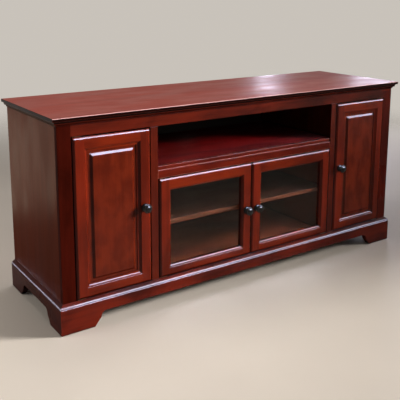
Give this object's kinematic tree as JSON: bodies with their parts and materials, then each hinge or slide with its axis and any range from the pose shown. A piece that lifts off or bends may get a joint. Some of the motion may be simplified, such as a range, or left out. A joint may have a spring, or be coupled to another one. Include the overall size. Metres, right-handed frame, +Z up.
{
  "type": "television console cabinet",
  "caption": "Long low wooden television cabinet with an open media bay over glass doors, panelled side doors, a moulded top and bracket feet.",
  "frame": {"origin": "on the floor, at the middle of the overall width and depth", "axes": "+X to the right along the cabinet's length as seen from the front, +Y to the back, +Z up"},
  "size_m": [1.676, 0.527, 0.762],
  "materials": {
    "cherry_front": "dark cherry stain under satin lacquer",
    "cherry_panel": "dark cherry stain under satin lacquer",
    "cherry_top": "dark cherry stain under satin lacquer",
    "cherry_side": "dark cherry stained veneer under satin lacquer",
    "cherry_base": "dark cherry stain under satin lacquer",
    "cherry_inside": "cherry stained veneer, thinner lacquer",
    "back_board": "dark printed hardboard",
    "block_wood": "bare pine",
    "clear_glass": "clear float glass",
    "knob_bronze": "dark bronze, burnished on the edges",
    "hinge_steel": "plated steel",
    "catch_plastic": "dark brown moulded plastic",
    "glide_nylon": "off-white nylon"
  },
  "bodies": {
    "cabinet": {"base_back": "cherry_base", "base_front": "cherry_base", "base_left": "cherry_base", "base_right": "cherry_base", "bottom_rail": "cherry_front", "cabinet_floor": "cherry_inside", "case_hinge_leaves": "hinge_steel", "centre_back_panel": "back_board", "centre_shelf": "cherry_inside", "corner_blocks": "block_wood", "floor_glides": "glide_nylon", "left_back_panel": "back_board", "left_end_panel": "cherry_side", "left_end_stile": "cherry_front", "left_mid_stile": "cherry_front", "left_partition": "cherry_inside", "left_shelf": "cherry_inside", "magnetic_catches": "catch_plastic", "media_shelf": "cherry_inside", "media_shelf_rail": "cherry_front", "right_back_panel": "back_board", "right_end_panel": "cherry_side", "right_end_stile": "cherry_front", "right_mid_stile": "cherry_front", "right_partition": "cherry_inside", "right_shelf": "cherry_inside", "shelf_pins": "hinge_steel", "top_moulding_front": "cherry_top", "top_moulding_left": "cherry_top", "top_moulding_right": "cherry_top", "top_panel": "cherry_top", "top_rail": "cherry_front"},
    "left_door": {"left_door_bottom_rail": "cherry_front", "left_door_fittings": "hinge_steel", "left_door_hinge_stile": "cherry_front", "left_door_knob": "knob_bronze", "left_door_lock_stile": "cherry_front", "left_door_panel": "cherry_panel", "left_door_top_rail": "cherry_front"},
    "left_glass_door": {"left_glass_door_bottom_rail": "cherry_front", "left_glass_door_fittings": "hinge_steel", "left_glass_door_glass": "clear_glass", "left_glass_door_hinge_stile": "cherry_front", "left_glass_door_knob": "knob_bronze", "left_glass_door_lock_stile": "cherry_front", "left_glass_door_top_rail": "cherry_front"},
    "right_glass_door": {"right_glass_door_bottom_rail": "cherry_front", "right_glass_door_fittings": "hinge_steel", "right_glass_door_glass": "clear_glass", "right_glass_door_hinge_stile": "cherry_front", "right_glass_door_knob": "knob_bronze", "right_glass_door_lock_stile": "cherry_front", "right_glass_door_top_rail": "cherry_front"},
    "right_door": {"right_door_bottom_rail": "cherry_front", "right_door_fittings": "hinge_steel", "right_door_hinge_stile": "cherry_front", "right_door_knob": "knob_bronze", "right_door_lock_stile": "cherry_front", "right_door_panel": "cherry_panel", "right_door_top_rail": "cherry_front"}
  },
  "joints": [
    {"name": "left_door_hinge", "type": "hinge", "parent": "cabinet", "child": "left_door", "pos_m": [-0.756, -0.2205, 0.114], "axis": [0, 0, -1], "range_deg": [0, 100]},
    {"name": "left_glass_door_hinge", "type": "hinge", "parent": "cabinet", "child": "left_glass_door", "pos_m": [-0.423, -0.2205, 0.114], "axis": [0, 0, -1], "range_deg": [0, 100]},
    {"name": "right_glass_door_hinge", "type": "hinge", "parent": "cabinet", "child": "right_glass_door", "pos_m": [0.423, -0.2205, 0.114], "axis": [0, 0, 1], "range_deg": [0, 100]},
    {"name": "right_door_hinge", "type": "hinge", "parent": "cabinet", "child": "right_door", "pos_m": [0.756, -0.2205, 0.114], "axis": [0, 0, 1], "range_deg": [0, 100]}
  ]
}
